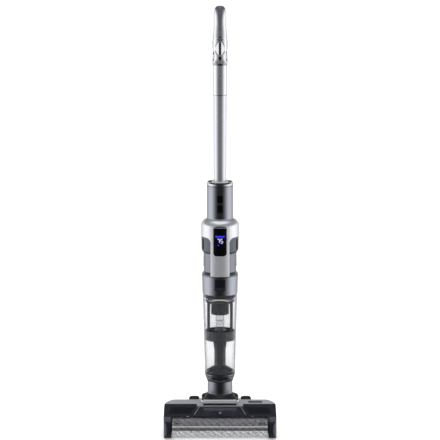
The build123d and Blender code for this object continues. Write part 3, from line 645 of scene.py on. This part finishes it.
tankPlan = dict(
    filterRadius=23.0, ribs=36, capUp=30.5, capTall=29.5,       # ribbed cap, and its height above the filter's foot
    cupRadius=37.9, guideRadius=11.5,                           # clear cup above it, and the float's clear guide
    basketTall=24, basketRadius=39.5, columnX=29.5,             # strainer basket and its two columns
    holeRows=6, holePitch=4.1, holeRise=3.4, holeReach=22,      # sieve holes
    funnelRibs=24, funnelTall=23,
)


def tankInsides():
    filterLow, filterHigh = lowCorner("tank_filter").z / mm, highCorner("tank_filter").z / mm
    capLow = filterLow + tankPlan["capUp"]
    capHigh = capLow + tankPlan["capTall"]
    # black ribbed filter cap
    bm = bmesh.new()
    radius = tankPlan["filterRadius"] * mm
    bmesh.ops.create_cone(bm, cap_ends=True, segments=4 * tankPlan["ribs"], radius1=radius, radius2=radius,
                          depth=(capHigh - capLow) * mm,
                          matrix=Matrix.Translation((0, stickY, (capLow + capHigh) / 2 * mm)))
    for vert in bm.verts:
        angle = math.atan2(vert.co.y - stickY, vert.co.x)
        slot = round(angle / (2 * math.pi) * 4 * tankPlan["ribs"]) % 4
        shrink = 0.95 if slot in (0, 1) else 1.0
        vert.co.x *= shrink
        vert.co.y = stickY + (vert.co.y - stickY) * shrink
    cap = finishPiece("ribbedFilterCap", bm, "tank_filter", finish["innerBlack"], smoothAngle=25)
    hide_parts("tank_filter")
    ring("filterCapFoot", [(0.5, capLow - 0.2), (21.5, capLow - 0.2), (23.3, capLow + 1.4), (23.3, capLow + 3),
                           (21, capLow + 3), (0.5, capLow + 3)], "tank_filter", finish["black"])
    cup = tankPlan["cupRadius"]
    ring("clearFilterCup", [(23.2, capHigh + 0.5), (cup - 2.2, capHigh + 3), (cup, capHigh + 8.5),
                            (cup, filterHigh), (cup - 1.4, filterHigh), (cup - 1.6, capHigh + 9.5),
                            (cup - 3, capHigh + 5), (23.2, capHigh + 3)],
         "tank_filter", finish["clear"])
    ring("filterCupRim", [(cup - 3.6, capHigh + 1.6), (cup - 1.0, capHigh + 3.0), (cup + 0.3, capHigh + 6.4),
                          (cup + 0.3, capHigh + 8.2), (cup - 0.8, capHigh + 8.2), (cup - 1.6, capHigh + 5.0),
                          (cup - 3.6, capHigh + 3.2)], "tank_filter", finish["innerBlack"])
    guide = tankPlan["guideRadius"]
    foot = highCorner("riser_tube").z / mm + 1
    ring("floatGuideTube", [(guide - 1.7, foot), (guide, foot), (guide, capLow), (guide - 1.7, capLow)],
         "tank_filter", finish["clear"])
    # strainer basket: wall and floor
    strainLow = lowCorner("tank_strainer").z / mm
    wallTop = strainLow + tankPlan["basketTall"]
    wall = tankPlan["basketRadius"]
    basket = ring("strainerBasket", [(37, strainLow), (39.2, strainLow), (wall, strainLow + 1), (wall, wallTop - 1),
                                     (39.2, wallTop), (37.4, wallTop), (37, strainLow + 2),
                                     (18.2, strainLow + 2), (18.2, strainLow), (28, strainLow)],
                  "tank_strainer", finish["innerBlack"])
    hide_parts("tank_strainer")
    # the wall's sieve holes, drawn as small grey discs on it
    for side, name in ((-1, "front"), (1, "back")):
        bm = bmesh.new()
        for row in range(tankPlan["holeRows"]):
            for column in range(-5, 6):
                across = (column + (0.5 if row % 2 else 0.0)) * tankPlan["holePitch"]
                if abs(across) > tankPlan["holeReach"]:
                    continue
                turnBy = Matrix.Rotation(math.asin(across / wall), 4, "Z")
                spot = Vector((0, -39.3 * mm, (strainLow + 3.6 + tankPlan["holeRise"] * row) * mm))
                start = turnBy @ spot
                end = turnBy @ (spot + Vector((0, -0.45 * mm, 0)))
                lift = Vector((0, stickY, 0))
                start.y *= -side
                end.y *= -side
                roundBar(bm, start + lift, end + lift, 1.15, 8)
        finishPiece(name + "SieveHoles", bm, "tank_strainer", finish["pod"])
    columnTop = highCorner("tank_strainer").z
    for name, side in (("left", -1), ("right", 1)):
        bm = bmesh.new()
        x = side * tankPlan["columnX"] * mm
        slab(bm, (x - 3.6 * mm, stickY - 3.5 * mm, strainLow * mm), (x + 3.6 * mm, stickY + 3.5 * mm, columnTop))
        softenEdges(bm, 1.8, segments=3)
        finishPiece(name + "StrainerColumn", bm, "tank_strainer", finish["pod"])
    # ribs on the funnel of the riser, and a dark seal round the foot of the tank
    funnelTop = strainLow - 0.8
    bm = bmesh.new()
    for rib in range(tankPlan["funnelRibs"]):
        turnBy = Matrix.Rotation(2 * math.pi * rib / tankPlan["funnelRibs"], 4, "Z")
        foot = turnBy @ Vector((0, -15.0 * mm, 0)) + Vector((0, stickY, (funnelTop - tankPlan["funnelTall"]) * mm))
        top = turnBy @ Vector((0, -17.4 * mm, 0)) + Vector((0, stickY, funnelTop * mm))
        roundBar(bm, foot, top, 0.7, 8)
    finishPiece("funnelRibs", bm, "riser_tube", finish["innerBlack"])
    foot = lowCorner("dirty_tank").z / mm
    ring("tankFootSeal", [(36.5, foot + 0.1), (39.7, foot + 0.1), (39.8, foot + 1.3), (39.2, foot + 1.8),
                          (36.5, foot + 1.8)], "dirty_tank", finish["rubber"])


liner = dict(outer=46.35, inner=45.9, reach=44.5)        # radii, and the angle that it goes round to each side


def tankLinerWithPaintedGlow():
    # milky sheet on the spine's hollow front, behind the tank, with a painted glow so it looks lit through by the
    # room
    bottom, top = lowCorner("dirty_tank").z + 2 * mm, highCorner("dirty_tank").z - 12 * mm
    bm = bmesh.new()
    turnBy = Matrix.Rotation(math.radians(-liner["reach"]), 3, "Z")
    corners = ((liner["outer"], bottom), (liner["inner"], bottom), (liner["inner"], top), (liner["outer"], top))
    rail = [bm.verts.new(turnBy @ Vector((0, r * mm, 0)) + Vector((0, stickY, z))) for r, z in corners]
    ends = [bm.edges.new(pair) for pair in zip(rail, rail[1:] + rail[:1])]
    bmesh.ops.spin(bm, geom=rail + ends, cent=(0, stickY, 0), axis=(0, 0, 1),
                   angle=math.radians(2 * liner["reach"]), steps=36, use_merge=False)
    bmesh.ops.holes_fill(bm, edges=[e for e in bm.edges if e.is_boundary])
    finishPiece("tankLinerWithPaintedGlow", bm, "rear_spine", finish["liner"])


print("tank")
tankInsides()
tankLinerWithPaintedGlow()


# body

def digit(bm, pattern, x, z, wide, tall, bar, radius):
    # one seven-bar figure, each bar set on the round glass
    bars = {"a": (0, 1, 1), "g": (0, 0, 1), "d": (0, -1, 1), "f": (-1, 0.5, 0), "b": (1, 0.5, 0),
            "e": (-1, -0.5, 0), "c": (1, -0.5, 0)}
    for key in pattern:
        sx, sz, flat = bars[key]
        px, pz = x + sx * wide / 2, z + sz * tall / 2
        halfX, halfZ = (wide / 2 - bar * 0.4, bar / 2) if flat else (bar / 2, tall / 4 - bar * 0.4)
        turnBy = math.asin(px / radius)
        place = Matrix.Translation((0, stickY, pz * mm)) @ Matrix.Rotation(turnBy, 4, "Z")
        slab(bm, (-halfX * mm, (-radius - 0.08) * mm, -halfZ * mm),
             (halfX * mm, (-radius + 0.3) * mm, halfZ * mm), place)


display = dict(
    barDown=21.5, digitsDown=33, dropDown=44,               # below the top of the glass
    digitWide=5.4, digitTall=10.5, digitBar=1.5,
    figures=(("abc", -4.2), ("afgcd", 4.0)),                # lit bars of each figure, and where it stands
    # painted shadow over the glass: the shell's gap, then how far the arch sinks, its half width and its rise
    shellGap=1.6, hoodShadowSink=2.0, hoodShadowHalf=17.6, hoodShadowRise=6.2,
)


def displayPicture():
    low, high = lowCorner("display_glass"), highCorner("display_glass")
    radius = (stickY - low.y) / mm
    top = high.z / mm
    drape("displayChargeBar", [roundedOutline(0, top - display["barDown"], 25, 4.2, 0.8, 3)], "display_glass",
          0.1, finish["litBlue"], stepMm=(2.0, 0))
    bm = bmesh.new()
    for pattern, x in display["figures"]:
        digit(bm, pattern, x, top - display["digitsDown"], display["digitWide"], display["digitTall"],
              display["digitBar"], radius)
    finishPiece("displayDigits", bm, "display_glass", finish["litPale"])
    drape("displayDropMark", [roundedOutline(-4.2, top - display["dropDown"], 3.2, 4.2, 1.5, 4)],
          "display_glass", 0.1, finish["litBlue"], stepMm=(0, 0))
    # painted shadow under the shell's overhanging edge, a dark arch over the glass
    base, half = top + display["shellGap"] - display["hoodShadowSink"], display["hoodShadowHalf"]
    arch = [(half * math.cos(math.radians(a)), base + display["hoodShadowRise"] * math.sin(math.radians(a)))
            for a in range(15, 180, 15)]
    drape("displayHoodShadow", [[(half, base)] + arch + [(-half, base)]], "silver_shell", 0.12, finish["pod"],
          stepMm=(2.5, 1.5))


body = dict(
    windows=(("lower", 29), ("upper", 54)), windowSize=(14.5, 19.5),        # battery windows, above its foot
    wellInner=25.2, wellOuter=30.4,                                         # dark well inside the bright ring
    podSlot=(43.8, 23), podSlotSize=(2.8, 27),                              # x, and height above the pod's foot
    neckRings=(6, 11.5),                                                    # above the change of finish
)


def bodyDetails():
    housingLow, housingHigh = lowCorner("battery_housing").z / mm, highCorner("battery_housing").z / mm
    for name, rise in body["windows"]:
        drape(name + "BatteryWindow", [roundedOutline(0, housingLow + rise, *body["windowSize"], 1.2, 3)],
              "battery_housing", 0.15, finish["display"], stepMm=(2.0, 0))
    radius = highCorner("battery_housing").x / mm
    ring("batteryFootLip", [(radius - 1, housingLow + 0.1), (radius + 0.45, housingLow + 0.3),
                            (radius + 0.45, housingLow + 1.6), (radius - 1, housingLow + 2.0)],
         "battery_housing", finish["headTop"])
    ring("batteryTopSeam", [(radius - 1, housingHigh - 4.2), (radius + 0.12, housingHigh - 4.0),
                            (radius + 0.12, housingHigh - 3.2), (radius - 1, housingHigh - 3.0)],
         "battery_housing", finish["black"])
    inner, outer = body["wellInner"], body["wellOuter"]
    ring("batteryTopWell", [(inner, housingHigh - 0.9), (outer, housingHigh - 0.9), (outer, housingHigh + 0.6),
                            (inner, housingHigh + 0.3)], "battery_housing", finish["black"])
    # lid: lip under the latch, and the seam round its top
    latch = lowCorner("tank_latch").z / mm
    drape("latchLip", [[(-13.6, latch - 1.2), (-11.0, latch - 6.6), (11.0, latch - 6.6), (13.6, latch - 1.2)]],
          "tank_lid", 0.8, finish["innerBlack"], stepMm=(2.5, 0), deepMm=0.6)
    lidHigh = highCorner("tank_lid").z / mm
    ring("lidSeam", [(45.5, lidHigh - 0.9), (46.95, lidHigh - 0.9), (46.95, lidHigh - 0.1), (45.5, lidHigh - 0.1)],
         "tank_lid", finish["black"])
    # a slot at the outer edge of each pod, and painted shadow in the gap under both
    podLow = lowCorner("right_pod").z / mm
    x, rise = body["podSlot"]
    for name, side in (("right", 1), ("left", -1)):
        drape(name + "PodSlot", [roundedOutline(side * x, podLow + rise, *body["podSlotSize"], 0.8, 2)],
              name + "_pod", 0.4, finish["black"], stepMm=(0.8, 0), deepMm=0.3)
    ring("podShadowGap", [(42.4, podLow - 1.6), (43.6, podLow - 1.6), (44.2, podLow - 0.1), (42.4, podLow - 0.1)],
         "main_housing", finish["black"])
    # rings of the neck and the tank seat
    for index, rise in enumerate(body["neckRings"]):
        z = neckSplit + rise
        ring("neckRing" + str(index + 1), [(32.0, z), (32.75, z + 0.2), (32.75, z + 0.9), (32.0, z + 1.1)],
             "swivel_neck", finish["neck"])
    seat = lowCorner("tank_seat").z / mm
    # painted shadow: a black ring at the seat's foot, where its lower edge shades the neck
    ring("seatFootShadowRing", [(32.2, seat + 0.1), (33.6, seat + 0.4), (34.6, seat + 2.6), (32.2, seat + 2.6)],
         "tank_seat", finish["black"])
    ring("seatBand", [(36.0, seat + 13.0), (38.45, seat + 13.4), (38.7, seat + 15.2), (36.0, seat + 15.6)],
         "tank_seat", finish["black"])


print("body")
displayPicture()
bodyDetails()


# back of the machine

back = dict(
    screwRadius=3.0, screws=((-13, 14), (13, 14), (-13, 70), (13, 70)),     # x, and height above the spine's foot
    seamRise=40, seamDrop=34, surroundOuter=22, surroundInner=13,           # spine seams, and the charger's surround
    marks=8, markRise=25, markStep=22, gripRibs=4, gripStep=4,              # level marks and grip on the clean tank
    slots=9, slotFrom=84, slotStep=5.2, slotRise=36, slotHalf=15,           # exhaust slots: angles and heights
)


def screwHead(bm, x, y, z, radius):
    # pan head with a cross slot, facing back
    roundBar(bm, (x * mm, y, z * mm), (x * mm, y + 0.9 * mm, z * mm), radius, 24, radius * 0.8)
    for wide, tall in ((radius * 0.9, 0.35), (0.35, radius * 0.9)):
        slab(bm, ((x - wide) * mm, y + 0.8 * mm, (z - tall) * mm),
             ((x + wide) * mm, y + 1.0 * mm, (z + tall) * mm))


def backDetails():
    bottom, top = lowCorner("rear_spine").z / mm, highCorner("rear_spine").z / mm
    bm = bmesh.new()
    for x, rise in back["screws"]:
        z = bottom + rise
        screwHead(bm, x, surfaceY("rear_spine", x * mm, z * mm, 1), z, back["screwRadius"])
    finishPiece("spineScrews", bm, "rear_spine", finish["steel"])
    seams = [roundedOutline(0, z, 60, 0.9, 0.4, 2) for z in (bottom + back["seamRise"], top - back["seamDrop"])]
    drape("spineSeam", seams, "rear_spine", 0.08, finish["black"], stepMm=(1.5, 0), side=1)
    socket = highCorner("charge_socket").z / mm - 6
    outer, inner = back["surroundOuter"], back["surroundInner"]
    drape("socketSurround", [roundedOutline(0, socket, outer, outer, 10.9, 8)], "rear_spine", 0.08,
          finish["black"], stepMm=(0, 0), side=1, inner=roundedOutline(0, socket, inner, inner, 6.4, 8))
    # clean tank: level lines, long and short by turns, and grip ribs
    tankLow, tankHigh = lowCorner("clean_tank").z / mm, highCorner("clean_tank").z / mm
    marks = [roundedOutline(18, tankLow + back["markRise"] + back["markStep"] * step, 10 if step % 2 else 16,
                            1.2, 0.5, 2) for step in range(back["marks"])]
    drape("levelMarks", marks, "clean_tank", 0.35, finish["pale"], stepMm=(0, 0), side=1)
    ribs = [roundedOutline(0, tankHigh - 14 - back["gripStep"] * step, 40, 1.6, 0.7, 2)
            for step in range(back["gripRibs"])]
    drape("cleanTankGripRibs", ribs, "clean_tank", 0.7, finish["water"], stepMm=(2.5, 0), side=1)
    # exhaust slots round the sides of the housing
    housing = lowCorner("main_housing").z / mm
    bm = bmesh.new()
    for side in (-1, 1):
        for step in range(back["slots"]):
            turnBy = Matrix.Rotation(side * math.radians(back["slotFrom"] + back["slotStep"] * step), 4, "Z")
            place = Matrix.Translation((0, stickY, (housing + back["slotRise"]) * mm)) @ turnBy
            slab(bm, (-0.9 * mm, -43.0 * mm, -back["slotHalf"] * mm), (0.9 * mm, -41.6 * mm, back["slotHalf"] * mm),
                 place)
    softenEdges(bm, 0.3)
    finishPiece("exhaustSlots", bm, "main_housing", finish["black"])


print("back")
backDetails()


# handle

grip = dict(
    ribs=5, ribStep=5.5, ribDrop=11,                                # ribs across the power button
    smileRise=26, padRise=29.5, stripDrop=25,                       # from the middle of the button
    inlay=((1.8, 35), (3.6, 62)), reflectionTop=((6.2, 14), (8.0, 7.5)), # painted reflection strip: half widths, above the button and below the top
)


def handleDetails():
    front = "handle_front_shell"
    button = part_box("power_button")
    middle = (button[0][2] + button[1][2]) / 2 / mm
    wide, tall = (button[1][0] - button[0][0]) / mm, (button[1][2] - button[0][2]) / mm
    drape("buttonRim", [roundedOutline(0, middle, wide - 0.2, tall - 0.4, 11.2, 8)], "power_button", 0.15,
          finish["greyTrimAndReflection"], stepMm=(0, 0), inner=roundedOutline(0, middle, wide - 3.4, tall - 3.6, 9.6, 8))
    drape("buttonStrip", [roundedOutline(0, middle, 5.6, tall - 3, 2.6, 4)], "power_button", 0.15, finish["inlay"],
          stepMm=(1.8, 2.5))
    ribs = [roundedOutline(0, middle - grip["ribDrop"] + grip["ribStep"] * step, 6.4, 1.5, 0.6, 2)
            for step in range(grip["ribs"])]
    drape("buttonRibs", ribs, "power_button", 0.55, finish["black"], stepMm=(0, 0))
    # painted shadow under the thumb pad: a dark crescent, the band between a wide arc and a shallower one
    smile = [(7.4 * math.cos(math.radians(a)), middle + grip["smileRise"] + 5.6 * math.sin(math.radians(a)))
             for a in range(205, 336, 10)]
    smile += [(6.6 * math.cos(math.radians(a)), middle + grip["smileRise"] + 0.6 + 3.4 * math.sin(math.radians(a)))
              for a in range(335, 204, -10)]
    drape("thumbPadShadowCrescent", [smile], front, 0.4, finish["black"], stepMm=(0, 0))
    drape("thumbPad", [roundedOutline(0, middle + grip["padRise"], 8.0, 7.5, 2.0, 3)], front, 0.25,
          finish["pod"], stepMm=(2, 2.5))
    # painted reflection: a dark grey strip up the middle of the grip's front, widening towards the top
    top = highCorner(front).z / mm
    right = [(x, middle + rise) for x, rise in grip["inlay"]] + [(x, top - drop) for x, drop in grip["reflectionTop"]]
    left = [(-x, z) for x, z in right]
    drape("gripPaintedReflection", [left[:1] + right + left[:0:-1]], front, 0.12, finish["greyTrimAndReflection"], stepMm=(2, 4))
    for name, side in (("left", -1), ("right", 1)):
        seam = [(side * 18.9, middle - 34), (side * 17.7, middle - 34), (side * 16.4, middle + 38),
                (side * 16.9, middle + 38)]
        drape(name + "GripSeam", [seam], front, 0.1, finish["greyTrimAndReflection"], stepMm=(0, 4))
    drape("gripFootStrip", [roundedOutline(0, middle - grip["stripDrop"], 6.4, 9, 2, 3)], front, 0.15,
          finish["inlay"], stepMm=(1.8, 2.5))
    sleeveTop = highCorner("handle_sleeve").z / mm
    ring("gripCollar", [(17.5, sleeveTop - 5.5), (18.55, sleeveTop - 5.2), (18.55, sleeveTop - 0.6),
                        (17.5, sleeveTop - 0.2)], "handle_sleeve", finish["gunmetal"])
    sleeveLow = lowCorner("handle_sleeve").z / mm
    ring("sleeveFootRing", [(17.3, sleeveLow - 0.8), (18.45, sleeveLow - 0.6), (18.45, sleeveLow + 0.8),
                            (17.3, sleeveLow + 1)], "handle_sleeve", finish["gunmetal"])


print("handle")
handleDetails()


# studio

studio = dict(
    room=1.12,                                          # even white light from all round
    screen=0.02, walls=1.25, behind=0.55,               # what gloss sees in front, at the sides and at the back
    ceiling=0.05, overhead=1.0, underfoot=0.2,          # and above, right overhead, and as a share low down
    floorRadius=4.0, floorGlow=0.3,
)


def studioFloor():
    # matt paper with a weak light of its own, so that it stays white right out to its edge
    material, tree, shader = startMaterial("matWhiteStudioFloor", Roughness=0.95,
                                           Emission_Strength=studio["floorGlow"])
    shader.inputs["Emission Color"].default_value = hexColour("#FFFFFF")
    place = addNode(tree, "ShaderNodeTexCoord")
    felt = addNode(tree, "ShaderNodeTexNoise", {"Scale": grainScale(400), "Detail": 2.0},
                   {"Vector": place.outputs["Object"]})
    paper = addNode(tree, "ShaderNodeMix", {"data_type": "RGBA", "A": hexColour("#FAFAFA"),
                                            "B": hexColour("#FCFCFC")}, {"Factor": felt.outputs["Fac"]})
    tree.links.new(paper.outputs["Result"], shader.inputs["Base Color"])
    bm = bmesh.new()
    bmesh.ops.create_circle(bm, cap_ends=True, segments=96, radius=studio["floorRadius"])
    mesh = bpy.data.meshes.new("studioFloor")
    bm.to_mesh(mesh)
    bm.free()
    floor = bpy.data.objects.new("studioFloor", mesh)
    bpy.context.scene.collection.objects.link(floor)
    mesh.materials.append(material)
    floor.visible_glossy = False     # so that gloss low down sees the screen and the walls too


def lightStudio():
    # a white room hung with a black screen in front, so that everything round has bright sides and a dark middle
    world = bpy.data.worlds.new("studioRoom")
    bpy.context.scene.world = world
    world.use_nodes = True
    tree = world.node_tree
    room = tree.nodes["Background"]
    room.inputs["Color"].default_value = hexColour("#FFFFFF")
    place = addNode(tree, "ShaderNodeTexCoord")
    way = addNode(tree, "ShaderNodeSeparateXYZ", links={"Vector": place.outputs["Generated"]})
    # each part of the room by direction: the axis, where it fades in, and the levels before and after
    fades = {"front": ("Y", -0.98, -0.1, studio["screen"], studio["walls"]),
             "back": ("Y", 0.2, 0.9, 0.0, studio["behind"] - studio["walls"]),
             "ceiling": ("Z", 0.15, 0.45, 1.0, studio["ceiling"]),
             "ground": ("Z", -0.65, -0.25, studio["underfoot"], 1.0),
             "overhead": ("Z", 0.8, 0.93, 0.0, studio["overhead"])}
    level = {}
    for key, (axis, start, end, before, after) in fades.items():
        fade = addNode(tree, "ShaderNodeMapRange", {"interpolation_type": "SMOOTHSTEP", "From Min": start,
                                                    "From Max": end, "To Min": before, "To Max": after},
                       {"Value": way.outputs[axis]})
        level[key] = fade.outputs["Result"]
    rays = addNode(tree, "ShaderNodeLightPath").outputs
    # how bright gloss sees the room, and whether a ray is gloss and not light through a clear part
    for key, operation, first, second in (("sides", "ADD", "front", "back"),
                                          ("sidesAndGround", "MULTIPLY", "sides", "ground"),
                                          ("allButOverhead", "MULTIPLY", "sidesAndGround", "ceiling"),
                                          ("gloss", "ADD", "allButOverhead", "overhead")):
        level[key] = addNode(tree, "ShaderNodeMath", {"operation": operation},
                             {0: level[first], 1: level[second]}).outputs["Value"]
    mirrored = addNode(tree, "ShaderNodeMath", {"operation": "SUBTRACT"},
                       {0: rays["Is Glossy Ray"], 1: rays["Is Transmission Ray"]})
    clamped = addNode(tree, "ShaderNodeClamp", links={"Value": mirrored.outputs["Value"]})
    strength = addNode(tree, "ShaderNodeMix", {"data_type": "FLOAT", "A": studio["room"]},
                       {"B": level["gloss"], "Factor": clamped.outputs["Result"]})
    tree.links.new(strength.outputs["Result"], room.inputs["Strength"])


view = dict(elevation=10.0, distance=6.5, aimHeight=0.548, frameHeight=1.138)


def placeCamera():
    aim = Vector((0, stickY, view["aimHeight"]))
    tilt = math.radians(view["elevation"])
    camera = bpy.data.objects.new("camera", bpy.data.cameras.new("camera"))
    bpy.context.scene.collection.objects.link(camera)
    camera.location = aim + view["distance"] * Vector((0, -math.cos(tilt), math.sin(tilt)))
    camera.rotation_euler = (aim - camera.location).to_track_quat("-Z", "Y").to_euler()
    camera.data.lens = camera.data.sensor_width * view["distance"] / view["frameHeight"]
    camera.data.clip_end = 200
    bpy.context.scene.camera = camera


print("studio")
bpy.context.scene.view_settings.view_transform = "Standard"
studioFloor()
lightStudio()
placeCamera()

bpy.context.view_layer.update()
